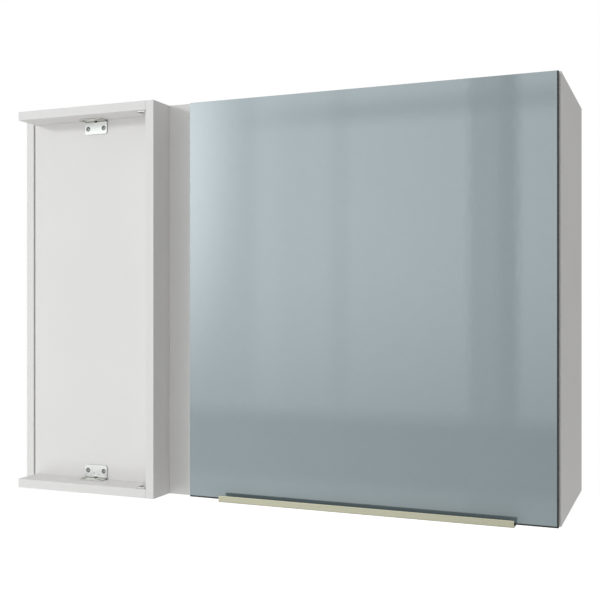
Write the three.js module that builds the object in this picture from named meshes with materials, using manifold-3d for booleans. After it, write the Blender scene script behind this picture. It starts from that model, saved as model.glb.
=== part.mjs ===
import * as THREE from "three";
import { mergeVertices } from "three/addons/utils/BufferGeometryUtils.js";
import Module from "manifold-3d";

// A blind corner wall cabinet: a carcass of coated boards, a blind panel with a shallow corner frame in
// front of it, and one gloss door on two concealed hinges, with a handle profile under its lower edge.
// Sizes are in millimetres. X runs along the front to the right, Y into the wall and Z up. The origin
// lies on the wall plane, at the middle of the bottom panel's back edge.

// Carcass
const cabinetWidth = 944;
const cabinetHeight = 660;
const cabinetDepth = 290;
const board = 15;
const seat = 0.3; // gap between pieces that rest against each other

// Back panels, held in a groove, with a joining profile between them
const backThickness = 3;
const backSetIn = 15; // from the wall to the back panels
const grooveDepth = 6;
const joinerWidth = 16;
const joinerSkin = 0.8;

// Blind panel and corner frame
const blindGap = 3.6; // between the left side and the blind panel
const frameProjection = 52;
const frameLeftSetIn = 22.7;
const fillerWidth = 49; // of blind panel that shows between frame and door

// Door
const doorWidth = 597;
const doorThickness = 15;
const doorStandOff = 2; // between the carcass and the door's back
const doorSideReveal = 2;
const doorBottomReveal = 1.5;
const doorTopReveal = 2.5;
const doorOverlap = 11; // of the door over the blind panel
const doorFrontRound = 2.5;
const doorBackRound = 0.8;

// Handle profile
const handleLength = 476;
const handleProud = 14; // in front of the door
const lipHeight = 10.5;
const lipThickness = 1.5;
const legThickness = 1.2;
const handleFillet = 1;
const handleScrewInset = 40;
const handleScrewLength = 16;

// Angle brackets of the corner frame
const bracketWidth = 45;
const bracketTall = 24;
const bracketDeep = 21;
const bracketThickness = 1.8;
const bracketCorner = 4;
const bracketBend = 2.6; // outer radius
const bracketScrewSpacing = 32;
const bracketScrewFromBend = 14;
const ribWidth = 7;
const ribReach = 7;
const cornerBracketSetBack = 3; // from the blind panel

// Countersunk screws
const screwShank = 1.7;
const screwHead = 3.6;
const screwHeadDepth = 1.9;
const screwLength = 13;
const screwPoint = 3; // length of the tapered end
const screwBlunt = 1.3; // radius where the point ends

// Shelf on pins
const shelfHeight = 330; // underside, above the cabinet's underside
const shelfSideGap = 1.6;
const shelfFrontSetBack = 24;
const shelfBackGap = 4;
const pinRadius = 2.5;
const pinHoleDepth = 9;
const pinReach = 8;
const pinRibRadius = 2.1;
const pinRibShort = 1; // of the rib under the paddle, at its tip
const pinPaddleWidth = 8;
const pinPaddleThickness = 1.6;
const pinCollarRadius = 4;
const pinHoleStep = 32;
const pinHolesEachWay = 2; // above and below the shelf's own
const frontPinRow = 64;
const backPinRow = 224;

// Concealed hinges
const hingeInset = 100; // from the door's top and bottom edges
const cupRadius = 17.5;
const cupFit = 0.2; // between the cup and its bore
const cupBoreDepth = 12.5;
const cupWall = 0.7;
const cupEdge = 4; // from the door's edge to the cup bore
const cupFlange = 1;
const cupFlangeRim = 2;
const cupEarSpacing = 48;
const cupEarOffset = 6;
const cupEarRadius = 6;
const cupScrewRadius = 2;
const cupScrewDepth = 9;
const cupPinSetIn = 2; // of the pin's ends from the bore's wall
const cupBossInner = 5; // half the space between the two bosses
const cupBossRadius = 3;
const swingSetIn = 4; // of the door's turning axis from the door's edge
const swingSetBack = 5; // and in front of the door's back
const doorOpening = 95;
const armPivotReach = 5.6; // from the turning axis to the pin in the arm
const cupPivotReach = 19; // from the turning axis to the pin in the cup
const hingePinRadius = 1;
const noseRadius = 2.1;
const neckHalf = 1.9;
const cheekInner = 2.5; // half the space between the arm's cheeks
const cheekThickness = 1.5;
const linkEndRadius = 3.9;
const armHeight = 15; // of the arm over the side's inner face
const armLength = 62;
const armHalfWidth = 9;
const armSheet = 1.2;
const armFlangeDepth = 9;
const armSlotRadius = 2.6;
const armSlotLength = 12;
const armSlotBehind = 10; // the plate's screws
const plateSetBack = 37; // of the plate's screws from the carcass front
const plateThickness = 2;
const plateScrewSpacing = 32;
const plateEarRadius = 6;
const plateScrewRadius = 2.4;
const plateHoleRadius = 2.5;
const plateHoleDepth = 11;
const plateRailLength = 40;

// Wall hangers
const hangerWidth = 17;
const hangerDepth = 44;
const hangerHeight = 58;
const hangerDrop = 6; // under the top panel
const hangerRound = 5;
const hookThickness = 3;
const hookStrip = 14;
const hookInside = 31; // of the hook's strip inside its case
const hookLip = 12;
const hookLipThickness = 3.6;
const hookWallGap = 2;
const adjusterRadius = 4;
const adjusterDepth = 4;
const adjusterSpacing = 29;

// Door bumpers
const bumperRadius = 4;
const bumperHeight = 1.4;
const bumperInset = 24;

const degree = Math.PI / 180;
const doorLeft = cabinetWidth - doorSideReveal - doorWidth;
const doorRight = doorLeft + doorWidth;
const doorBack = -doorStandOff;
const doorFront = doorBack - doorThickness;
const doorTop = cabinetHeight - doorTopReveal;
const blindLeft = board + blindGap;
const blindRight = doorLeft + doorOverlap;
const frameRight = doorLeft - fillerWidth;
const backFront = cabinetDepth - backSetIn - backThickness;
const grooveFront = backFront - seat;
const grooveBack = backFront + backThickness + seat;

const wasm = await Module();
wasm.setup();

// A closed three.js geometry as a solid that can be joined and cut.
function solid(geometry) {
  const bare = geometry.clone();
  bare.deleteAttribute("normal");
  bare.deleteAttribute("uv");
  const merged = mergeVertices(bare, 1e-4);
  return new wasm.Manifold(
    new wasm.Mesh({
      numProp: 3,
      vertProperties: merged.attributes.position.array,
      triVerts: merged.index.array,
    }),
  );
}

function surface(shape) {
  const mesh = shape.getMesh();
  const geometry = new THREE.BufferGeometry();
  geometry.setAttribute("position", new THREE.BufferAttribute(mesh.vertProperties, 3));
  geometry.setIndex(new THREE.BufferAttribute(mesh.triVerts, 1));
  geometry.computeVertexNormals();
  return geometry;
}

function block(x, y, z) {
  const geometry = new THREE.BoxGeometry(x[1] - x[0], y[1] - y[0], z[1] - z[0]);
  geometry.translate((x[0] + x[1]) / 2, (y[0] + y[1]) / 2, (z[0] + z[1]) / 2);
  return solid(geometry);
}

// A round bar from one point to another.
function rod(from, to, radius, sides = 16) {
  const along = new THREE.Vector3().subVectors(to, from);
  const geometry = new THREE.CylinderGeometry(radius, radius, along.length(), sides);
  geometry.translate(0, along.length() / 2, 0);
  const up = new THREE.Vector3(0, 1, 0);
  geometry.applyQuaternion(new THREE.Quaternion().setFromUnitVectors(up, along.normalize()));
  geometry.translate(from.x, from.y, from.z);
  return solid(geometry);
}

const point = (x, y, z) => new THREE.Vector3(x, y, z);
const alongX = new THREE.Matrix4().makeBasis(point(0, 1, 0), point(0, 0, 1), point(1, 0, 0));
const alongY = new THREE.Matrix4().makeBasis(point(1, 0, 0), point(0, 0, 1), point(0, -1, 0));

function extrusion(outline, depth, arcSteps = 6) {
  return new THREE.ExtrudeGeometry(outline, { depth, bevelEnabled: false, curveSegments: arcSteps });
}

// An outline drawn in two axes and run out along the third one, between two places on it.
function prismX(outline, from, to) {
  return solid(extrusion(outline, to - from).applyMatrix4(alongX).translate(from, 0, 0));
}

function prismY(outline, from, to) {
  return solid(extrusion(outline, to - from).applyMatrix4(alongY).translate(0, to, 0));
}

function prismZ(outline, from, to) {
  return solid(extrusion(outline, to - from).translate(0, 0, from));
}

// A rectangle whose corners have one radius on the low side of v and another on the high side.
function roundedRectangle(u, v, lowRadius, highRadius) {
  const outline = new THREE.Shape();
  outline.moveTo(u[0] + lowRadius, v[0]);
  outline.lineTo(u[1] - lowRadius, v[0]);
  outline.absarc(u[1] - lowRadius, v[0] + lowRadius, lowRadius, -Math.PI / 2, 0);
  outline.lineTo(u[1], v[1] - highRadius);
  outline.absarc(u[1] - highRadius, v[1] - highRadius, highRadius, 0, Math.PI / 2);
  outline.lineTo(u[0] + highRadius, v[1]);
  outline.absarc(u[0] + highRadius, v[1] - highRadius, highRadius, Math.PI / 2, Math.PI);
  outline.lineTo(u[0], v[0] + lowRadius);
  outline.absarc(u[0] + lowRadius, v[0] + lowRadius, lowRadius, Math.PI, 1.5 * Math.PI);
  return outline;
}

function material(colour, roughness, metalness = 0) {
  return new THREE.MeshStandardMaterial({ color: colour, roughness, metalness });
}

const finishes = {
  board: () => material("#ececea", 0.55),
  back: () => material("#e9e9e6", 0.6),
  joiner: () => material("#eeeeec", 0.45),
  gloss: () => material("#8f9ba1", 0.06),
  handle: () => material("#c3c1a9", 0.32, 1),
  zinc: () => material("#d9dadb", 0.35, 1),
  steel: () => material("#c9cacb", 0.28, 1),
  plastic: () => material("#f1f1ee", 0.4),
  clear: () => material("#e4e7e8", 0.25),
};

const cabinet = new THREE.Group();
cabinet.position.set(-cabinetWidth / 2, -cabinetDepth, -board / 2);

function place(name, shape, finish, parent = cabinet) {
  const mesh = new THREE.Mesh(surface(shape), finishes[finish]());
  mesh.name = name;
  parent.add(mesh);
  return mesh;
}

// Screws -----------------------------------------------------------------------------------------

// A countersunk screw with its head's face at the origin and its point down the Y axis.
function screwShape(length) {
  const outline = [
    new THREE.Vector2(0, -length),
    new THREE.Vector2(screwBlunt, -length + screwPoint / 2),
    new THREE.Vector2(screwShank, -length + screwPoint),
    new THREE.Vector2(screwShank, -screwHeadDepth),
    new THREE.Vector2(screwHead, 0),
    new THREE.Vector2(0, 0),
  ];
  return solid(new THREE.LatheGeometry(outline, 12));
}

// The space that such a screw needs in what it fastens, all round wider by the seat.
function screwHole(length) {
  const outline = [
    new THREE.Vector2(0, -length - seat),
    new THREE.Vector2(screwShank + seat, -length - seat),
    new THREE.Vector2(screwShank + seat, -screwHeadDepth),
    new THREE.Vector2(screwHead + seat, 0),
    new THREE.Vector2(screwHead + seat, 1),
    new THREE.Vector2(0, 1),
  ];
  return new THREE.LatheGeometry(outline, 12);
}

// Angle brackets ---------------------------------------------------------------------------------

// A leg's plate in the XZ plane, hanging from Z 0, with its two lower corners rounded.
function bracketLeg(length) {
  const half = bracketWidth / 2;
  const outline = new THREE.Shape();
  outline.moveTo(-half, -bracketBend);
  outline.lineTo(-half, -length + bracketCorner);
  outline.absarc(-half + bracketCorner, -length + bracketCorner, bracketCorner, Math.PI, 1.5 * Math.PI);
  outline.lineTo(half - bracketCorner, -length);
  outline.absarc(half - bracketCorner, -length + bracketCorner, bracketCorner, -Math.PI / 2, 0);
  outline.lineTo(half, -bracketBend);
  return extrusion(outline, bracketThickness, 4);
}

// The quarter bend between the two legs, its outer side on the YZ axes.
function bracketBendShape() {
  const outline = new THREE.Shape();
  outline.absarc(-bracketBend, -bracketBend, bracketBend, 0, Math.PI / 2);
  outline.lineTo(-bracketBend, -bracketThickness);
  const inner = bracketBend - bracketThickness;
  outline.absarc(-bracketBend, -bracketBend, inner, Math.PI / 2, 0, true);
  const half = bracketWidth / 2;
  return prismX(outline, -half, half);
}

// The pressed rib that stiffens the bend, a wedge with a hollow slope.
function bracketRib() {
  const reach = bracketThickness + ribReach;
  const sunk = bracketThickness / 2;
  const outline = new THREE.Shape();
  outline.moveTo(-sunk, -sunk);
  outline.lineTo(-reach, -sunk);
  outline.lineTo(-reach, -bracketThickness);
  outline.quadraticCurveTo(-bracketThickness * 2, -bracketThickness * 2, -bracketThickness, -reach);
  outline.lineTo(-sunk, -reach);
  return prismX(outline, -ribWidth / 2, ribWidth / 2);
}

// Where the screws' heads lie on a bracket, and which way each one points.
function bracketScrews() {
  const places = [];
  for (const side of [-1, 1]) {
    const x = (side * bracketScrewSpacing) / 2;
    places.push({ at: point(x, -bracketThickness, -bracketScrewFromBend), to: point(0, 1, 0) });
    places.push({ at: point(x, -bracketScrewFromBend, -bracketThickness), to: point(0, 0, 1) });
  }
  return places;
}

function turned(to) {
  return new THREE.Quaternion().setFromUnitVectors(point(0, -1, 0), to);
}

function bracketShape() {
  const upright = solid(bracketLeg(bracketTall).applyMatrix4(alongY));
  const level = new THREE.Matrix4().makeBasis(point(-1, 0, 0), point(0, 1, 0), point(0, 0, -1));
  const flat = solid(bracketLeg(bracketDeep).applyMatrix4(level));
  let shape = upright.add(flat).add(bracketBendShape()).add(bracketRib());
  for (const { at, to } of bracketScrews()) {
    const hole = screwHole(screwLength).applyQuaternion(turned(to)).translate(at.x, at.y, at.z);
    shape = shape.subtract(solid(hole));
  }
  return shape;
}

const frameInner = frameRight - board;
const frameMiddle = (blindLeft + frameInner) / 2;
const cornerBracketPlace = -cornerBracketSetBack - bracketWidth / 2;
const bracketPlaces = {
  upper_middle: { at: point(frameMiddle, -seat, cabinetHeight - board - seat), turn: 0, flip: 0 },
  lower_middle: { at: point(frameMiddle, -seat, board + seat), turn: 0, flip: Math.PI },
  upper_corner: {
    at: point(frameInner - seat, cornerBracketPlace, cabinetHeight - board - seat),
    turn: -Math.PI / 2,
    flip: 0,
  },
  lower_corner: {
    at: point(frameInner - seat, cornerBracketPlace, board + seat),
    turn: -Math.PI / 2,
    flip: Math.PI,
  },
};

function bracketGroup({ at, turn, flip }) {
  const group = new THREE.Group();
  group.position.copy(at);
  group.rotation.set(0, flip, turn, "ZYX");
  group.updateMatrix();
  return group;
}

// The holes that all bracket screws need, as one solid in the cabinet's frame.
function bracketScrewHoles() {
  const holes = [];
  for (const place of Object.values(bracketPlaces)) {
    const group = bracketGroup(place);
    for (const { at, to } of bracketScrews()) {
      const hole = screwHole(screwLength).applyQuaternion(turned(to)).translate(at.x, at.y, at.z);
      holes.push(solid(hole.applyMatrix4(group.matrix)));
    }
  }
  return holes.reduce((all, hole) => all.add(hole));
}

function addBrackets() {
  for (const [where, spot] of Object.entries(bracketPlaces)) {
    const group = bracketGroup(spot);
    cabinet.add(group);
    place("bracket_" + where, bracketShape(), "zinc", group);
    bracketScrews().forEach(({ at, to }, index) => {
      const screw = place("screw_" + where + "_" + (index + 1), screwShape(screwLength), "zinc", group);
      screw.position.copy(at);
      screw.quaternion.copy(turned(to));
    });
  }
}

// Carcass ----------------------------------------------------------------------------------------

const pinRows = [frontPinRow, backPinRow];
const pinHeight = shelfHeight - seat - pinRadius;

// One side's rows of blind holes for shelf pins, opening at its inner face.
function pinHoles(face, inwards) {
  const holes = [];
  for (const row of pinRows) {
    for (let step = -pinHolesEachWay; step <= pinHolesEachWay; step += 1) {
      const z = pinHeight + step * pinHoleStep;
      const from = point(face + inwards, row, z);
      const to = point(face - inwards * pinHoleDepth, row, z);
      holes.push(rod(from, to, pinRadius + seat, 12));
    }
  }
  return holes.reduce((all, hole) => all.add(hole));
}

// The holes for the hinge plates' screws in the right side.
function plateHoles() {
  const holes = [];
  const inner = cabinetWidth - board;
  for (const height of hingeHeights) {
    for (const side of [-1, 1]) {
      const at = (x) => point(x, plateSetBack, height + (side * plateScrewSpacing) / 2);
      holes.push(rod(at(inner - 1), at(inner + plateHoleDepth), plateHoleRadius, 12));
    }
  }
  return holes.reduce((all, hole) => all.add(hole));
}

const hingeHeights = [doorTop - hingeInset, doorBottomReveal + hingeInset];

// A side panel with its inner face grooved for the back panels.
function sidePanel(outer, inner, inwards) {
  const x = [outer, inner].sort((a, b) => a - b);
  const cut = [inner - inwards * grooveDepth, inner + inwards].sort((a, b) => a - b);
  const groove = block(cut, [grooveFront, grooveBack], [-1, cabinetHeight + 1]);
  return block(x, [0, cabinetDepth], [0, cabinetHeight]).subtract(groove);
}

function leftSide() {
  return sidePanel(0, board, 1).subtract(pinHoles(board, 1));
}

function rightSide() {
  const inner = cabinetWidth - board;
  return sidePanel(cabinetWidth, inner, -1).subtract(pinHoles(inner, -1)).subtract(plateHoles());
}

// The top or bottom panel, notched for the blind panel and grooved on its inner face.
function levelPanel(low, grooveLow, grooveHigh) {
  const ends = [board + seat, cabinetWidth - board - seat];
  const panel = block(ends, [0, cabinetDepth], [low, low + board]);
  const notch = block([0, blindRight + seat], [-1, board + seat], [low - 1, low + board + 1]);
  const groove = block([0, cabinetWidth], [grooveFront, grooveBack], [grooveLow, grooveHigh]);
  return panel.subtract(notch).subtract(groove);
}

function topPanel() {
  const low = cabinetHeight - board;
  return levelPanel(low, low - 1, low + grooveDepth);
}

function bottomPanel() {
  return levelPanel(0, board - grooveDepth, board + 1);
}

function blindPanel(screwHoles) {
  return block([blindLeft, blindRight], [0, board], [0, cabinetHeight]).subtract(screwHoles);
}

const backMiddle = cabinetWidth / 2;
const backLow = board - grooveDepth + seat;
const backHigh = cabinetHeight - board + grooveDepth - seat;

// A back panel between two places, with its outer top corner cut away for the hanger's hook.
function backPanel(from, to, cut) {
  const panel = block([from, to], [backFront, backFront + backThickness], [backLow, backHigh]);
  const low = hookMiddle - hookStrip / 2 - hookLip;
  const notch = block(cut, [backFront - 1, backFront + backThickness + 1], [low, backHigh + 1]);
  return panel.subtract(notch);
}

function backPanelLeft() {
  const from = board - grooveDepth + seat;
  const to = backMiddle - joinerSkin / 2 - seat;
  return backPanel(from, to, [from - 1, board + hangerWidth]);
}

function backPanelRight() {
  const from = backMiddle + joinerSkin / 2 + seat;
  const to = cabinetWidth - board + grooveDepth - seat;
  return backPanel(from, to, [cabinetWidth - board - hangerWidth, to + 1]);
}

// The H section that joins the two back panels, slid over both of their edges.
function backJoiner() {
  const half = joinerWidth / 2;
  const z = [board + seat, cabinetHeight - board - seat];
  const front = backFront - seat - joinerSkin;
  const back = backFront + backThickness + seat;
  const across = [backMiddle - half, backMiddle + half];
  const web = [backMiddle - joinerSkin / 2, backMiddle + joinerSkin / 2];
  return block(across, [front, front + joinerSkin], z)
    .add(block(across, [back, back + joinerSkin], z))
    .add(block(web, [front, back + joinerSkin], z));
}

function shelf() {
  const x = [board + shelfSideGap, cabinetWidth - board - shelfSideGap];
  return block(x, [shelfFrontSetBack, backFront - shelfBackGap], [shelfHeight, shelfHeight + board]);
}

// A shelf pin along X from the side's face: a shank in the hole, a collar and a flat paddle.
function shelfPin(face, row, inwards) {
  const at = (x) => point(face + inwards * x, row, pinHeight);
  const shank = rod(at(-pinHoleDepth + seat), at(shelfSideGap - seat), pinRadius, 12);
  const collar = rod(at(seat), at(shelfSideGap - seat), pinCollarRadius, 16);
  const top = pinHeight + pinRadius;
  const reach = [face + inwards * seat, face + inwards * (seat + pinReach)].sort((a, b) => a - b);
  const half = pinPaddleWidth / 2;
  const paddle = block(reach, [row - half, row + half], [top - pinPaddleThickness, top]);
  const rib = rod(at(seat), at(seat + pinReach - pinRibShort), pinRibRadius, 12);
  return shank.add(collar).add(paddle).add(rib);
}

function addCarcass(screwHoles) {
  place("left_side", leftSide(), "board");
  place("right_side", rightSide(), "board");
  place("top_panel", topPanel(), "board");
  place("bottom_panel", bottomPanel(), "board");
  place("blind_panel", blindPanel(screwHoles), "board");
  place("back_panel_left", backPanelLeft(), "back");
  place("back_panel_right", backPanelRight(), "back");
  place("back_joiner", backJoiner(), "joiner");
  place("shelf", shelf(), "board");
  const sides = { left: [board, 1], right: [cabinetWidth - board, -1] };
  for (const [side, [face, inwards]] of Object.entries(sides)) {
    place("shelf_pin_front_" + side, shelfPin(face, frontPinRow, inwards), "zinc");
    place("shelf_pin_back_" + side, shelfPin(face, backPinRow, inwards), "zinc");
  }
}

function addFrame(screwHoles) {
  const y = [-frameProjection, -seat];
  const long = [frameLeftSetIn, frameInner - seat];
  const top = block(long, y, [cabinetHeight - board, cabinetHeight]);
  const bottom = block(long, y, [0, board]);
  const side = block([frameInner, frameRight], y, [0, cabinetHeight]);
  place("frame_top_board", top.subtract(screwHoles), "board");
  place("frame_bottom_board", bottom.subtract(screwHoles), "board");
  place("frame_side_board", side.subtract(screwHoles), "board");
}

// Wall hangers -----------------------------------------------------------------------------------

const hangerTop = cabinetHeight - board - hangerDrop;
const hookMiddle = hangerTop - hangerHeight / 2;

// The steel hook: a strip that leaves the case through the back and turns down behind a wall rail.
function hangerHook(middle) {
  const from = backFront - seat - hookInside;
  const to = cabinetDepth - hookWallGap;
  const high = hookMiddle + hookStrip / 2;
  const low = hookMiddle - hookStrip / 2;
  const lip = hookLipThickness;
  const outline = new THREE.Shape();
  outline.moveTo(from, low);
  outline.lineTo(to - lip * 2, low);
  outline.absarc(to - lip * 2, low - lip / 2, lip / 2, Math.PI / 2, 0, true);
  outline.lineTo(to - lip, low - hookLip + lip / 2);
  outline.lineTo(to - lip / 2, low - hookLip);
  outline.lineTo(to, low - hookLip + lip / 2);
  outline.lineTo(to, high - lip);
  outline.absarc(to - lip, high - lip, lip, 0, Math.PI / 2);
  outline.lineTo(from, high);
  return prismX(outline, middle - hookThickness / 2, middle + hookThickness / 2);
}

// The moulded case on the side panel, slotted for its hook, with two adjusters in its front.
function hangerCase(middle) {
  const half = hangerWidth / 2;
  const back = backFront - seat;
  const front = back - hangerDepth;
  const tall = [hangerTop - hangerHeight, hangerTop];
  const outline = roundedRectangle([front, back], tall, hangerRound, hangerRound);
  const slotHalf = hookThickness / 2 + seat;
  const slot = block(
    [middle - slotHalf, middle + slotHalf],
    [back - hookInside - seat, back + 1],
    [hookMiddle - hookStrip / 2 - seat, hookMiddle + hookStrip / 2 + seat],
  );
  let shape = prismX(outline, middle - half, middle + half).subtract(slot);
  for (const side of [-1, 1]) {
    const z = hookMiddle + (side * adjusterSpacing) / 2;
    const at = (y) => point(middle, y, z);
    shape = shape.subtract(rod(at(front - 1), at(front + adjusterDepth), adjusterRadius));
  }
  return shape;
}

function addHangers() {
  const offset = board + seat + hangerWidth / 2;
  const middles = { left: offset, right: cabinetWidth - offset };
  for (const [side, middle] of Object.entries(middles)) {
    place("hanger_case_" + side, hangerCase(middle), "plastic");
    place("hanger_hook_" + side, hangerHook(middle), "zinc");
  }
}

// Door and handle --------------------------------------------------------------------------------

const cupX = doorRight - cupEdge - cupRadius;
const earX = cupX - cupEarOffset;

function doorPanel() {
  const y = [doorFront, doorBack];
  const plan = roundedRectangle([doorLeft, doorRight], y, doorFrontRound, doorBackRound);
  let panel = prismZ(plan, doorBottomReveal, doorTop).intersect(doorSection());
  for (const z of hingeHeights) {
    const bottom = doorBack - cupBoreDepth;
    panel = panel.subtract(rod(point(cupX, bottom, z), point(cupX, 1, z), cupRadius, 28));
    for (const side of [-1, 1]) {
      const ear = z + (side * cupEarSpacing) / 2;
      const screwEnd = point(earX, doorBack - cupScrewDepth, ear);
      panel = panel.subtract(rod(screwEnd, point(earX, 1, ear), cupScrewRadius, 10));
    }
  }
  return panel.subtract(handleScrewHoles());
}

// The door's section from front to back, run from one of its side edges to the other.
function doorSection() {
  const front = doorFrontRound;
  const back = doorBackRound;
  const outline = new THREE.Shape();
  outline.moveTo(doorFront + front, doorBottomReveal);
  outline.lineTo(doorBack - back, doorBottomReveal);
  outline.absarc(doorBack - back, doorBottomReveal + back, back, -Math.PI / 2, 0);
  outline.lineTo(doorBack, doorTop - back);
  outline.absarc(doorBack - back, doorTop - back, back, 0, Math.PI / 2);
  outline.lineTo(doorFront + front, doorTop);
  outline.absarc(doorFront + front, doorTop - front, front, Math.PI / 2, Math.PI);
  outline.lineTo(doorFront, doorBottomReveal + front);
  outline.absarc(doorFront + front, doorBottomReveal + front, front, Math.PI, 1.5 * Math.PI);
  return prismX(outline, doorLeft - 1, doorRight + 1);
}

const legTop = doorBottomReveal - seat;
const legBottom = legTop - legThickness;
const handleMiddle = (doorLeft + doorRight) / 2;
const handleScrewPlaces = [-1, 0, 1].map(
  (side) => handleMiddle + side * (handleLength / 2 - handleScrewInset),
);
const handleScrewY = (doorFront + doorBack) / 2;

function handleScrewHoles() {
  const holes = handleScrewPlaces.map((x) => {
    const hole = screwHole(handleScrewLength).applyQuaternion(turned(point(0, 0, 1)));
    return solid(hole.translate(x, handleScrewY, legBottom));
  });
  return holes.reduce((all, hole) => all.add(hole));
}

// The L section: a leg under the door's lower edge and a lip that stands up in front of it.
function handleProfile() {
  const lipFront = doorFront - handleProud;
  const round = lipThickness / 2;
  const inner = lipFront + lipThickness;
  const fillet = handleFillet;
  const outline = new THREE.Shape();
  outline.moveTo(lipFront + fillet, legBottom);
  outline.lineTo(doorBack, legBottom);
  outline.lineTo(doorBack, legTop);
  outline.lineTo(inner + fillet, legTop);
  outline.absarc(inner + fillet, legTop + fillet, fillet, 1.5 * Math.PI, Math.PI, true);
  outline.lineTo(inner, legBottom + lipHeight - round);
  outline.absarc(inner - round, legBottom + lipHeight - round, round, 0, Math.PI);
  outline.lineTo(lipFront, legBottom + fillet);
  outline.absarc(lipFront + fillet, legBottom + fillet, fillet, Math.PI, 1.5 * Math.PI);
  const half = handleLength / 2;
  return prismX(outline, handleMiddle - half, handleMiddle + half).subtract(handleScrewHoles());
}

function addDoor() {
  place("door_panel", doorPanel(), "gloss");
  place("handle_profile", handleProfile(), "handle");
  handleScrewPlaces.forEach((x, index) => {
    const screw = place("handle_screw_" + (index + 1), screwShape(handleScrewLength), "zinc");
    screw.quaternion.copy(turned(point(0, 0, 1)));
    screw.position.set(x, handleScrewY, legBottom);
  });
  const bumperX = (doorLeft + blindRight) / 2;
  const inset = { upper: doorTop - bumperInset, lower: doorBottomReveal + bumperInset };
  for (const [where, z] of Object.entries(inset)) {
    const shape = rod(point(bumperX, -seat - bumperHeight, z), point(bumperX, -seat, z), bumperRadius);
    place("door_bumper_" + where, shape, "clear");
  }
}

// Concealed hinges -------------------------------------------------------------------------------

// The hinge in plan: the door turns on its axis, and a link runs from the arm's pin to the cup's pin.
const swing = new THREE.Vector2(doorRight - swingSetIn, doorBack - swingSetBack);
const armPin = polar(swing, armPivotReach, Math.PI + (doorOpening / 2) * degree);
const cupPin = polar(swing, cupPivotReach, Math.PI);
const linkFar = armPin.distanceTo(cupPin);
const linkNear = cupPivotReach - armPivotReach;
const linkLength = (linkFar + linkNear) / 2;
const linkHole = hingePinRadius + (linkFar - linkNear) / 2 + seat;
const linkRest = bearing(armPin, cupPin);

function polar(centre, reach, angle) {
  return new THREE.Vector2(centre.x + reach * Math.cos(angle), centre.y + reach * Math.sin(angle));
}

function bearing(from, to) {
  return (Math.atan2(to.y - from.y, to.x - from.x) + 2 * Math.PI) % (2 * Math.PI);
}

function pinHoleAt(centre, height, radius, half) {
  return rod(point(centre.x, centre.y, height - half), point(centre.x, centre.y, height + half), radius);
}

// The link: a lever with an eye at each end, the far one wide enough for the cup's pin as it travels.
function hingeLink(height) {
  const lean = Math.asin((linkEndRadius - noseRadius) / linkLength);
  const outline = new THREE.Shape();
  outline.absarc(0, 0, noseRadius, Math.PI / 2 + lean, 1.5 * Math.PI - lean);
  outline.absarc(linkLength, 0, linkEndRadius, -Math.PI / 2 - lean, Math.PI / 2 + lean);
  const half = cheekInner - seat;
  const geometry = extrusion(outline, 2 * half, 10);
  geometry.rotateZ(linkRest).translate(armPin.x, armPin.y, height - half);
  const eye = polar(armPin, linkLength, linkRest);
  return solid(geometry)
    .subtract(pinHoleAt(armPin, height, hingePinRadius + seat, half + 1))
    .subtract(pinHoleAt(eye, height, linkHole, half + 1));
}

const armFace = cabinetWidth - board - armHeight;
const railFront = plateSetBack - plateRailLength / 2;
const neckX = cabinetWidth - board - 2 * neckHalf;

// One cheek of the arm in plan, from the web to the nose that holds the pin inside the cup.
function cheekOutline() {
  const outline = new THREE.Shape();
  const low = armPin.y - neckHalf;
  const high = armPin.y + neckHalf;
  outline.moveTo(armFace, armSheet);
  outline.lineTo(neckX - neckHalf, doorBack);
  outline.lineTo(neckX - neckHalf, low + neckHalf);
  outline.lineTo(neckX, low);
  outline.lineTo(armPin.x, low);
  outline.absarc(armPin.x, armPin.y, noseRadius, -Math.PI / 2, Math.PI / 2);
  outline.lineTo(neckX + neckHalf, high);
  outline.lineTo(neckX + neckHalf / 2, 0);
  outline.lineTo(armFace + armFlangeDepth, armFlangeDepth);
  outline.lineTo(armFace + armFlangeDepth, railFront - seat);
  outline.lineTo(armFace, railFront - seat);
  return outline;
}

// The arm: a channel over the mounting plate, with two cheeks that reach into the cup.
function hingeArm(height) {
  const z = [height - armHalfWidth, height + armHalfWidth];
  const depth = [armFace, armFace + armFlangeDepth];
  const y = [armSheet, armLength];
  let shape = block([armFace, armFace + armSheet], y, z)
    .add(block(depth, [armFlangeDepth, armLength], [z[0], z[0] + armSheet]))
    .add(block(depth, [armFlangeDepth, armLength], [z[1] - armSheet, z[1]]));
  const inner = cheekInner;
  const outer = cheekInner + cheekThickness;
  shape = shape.add(prismZ(cheekOutline(), height + inner, height + outer));
  shape = shape.add(prismZ(cheekOutline(), height - outer, height - inner));
  shape = shape.subtract(armSlot(height));
  return shape.subtract(pinHoleAt(armPin, height, hingePinRadius + seat, outer + 1));
}

// The slot for the screw that sets the arm's depth.
function armSlot(height) {
  const half = armSlotLength / 2;
  const y = plateSetBack + armSlotBehind;
  const through = [armFace - 1, armFace + armSheet + 1];
  return block(through, [y - half, y + half], [height - armSlotRadius, height + armSlotRadius])
    .add(rod(point(through[0], y - half, height), point(through[1], y - half, height), armSlotRadius))
    .add(rod(point(through[0], y + half, height), point(through[1], y + half, height), armSlotRadius));
}

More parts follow.
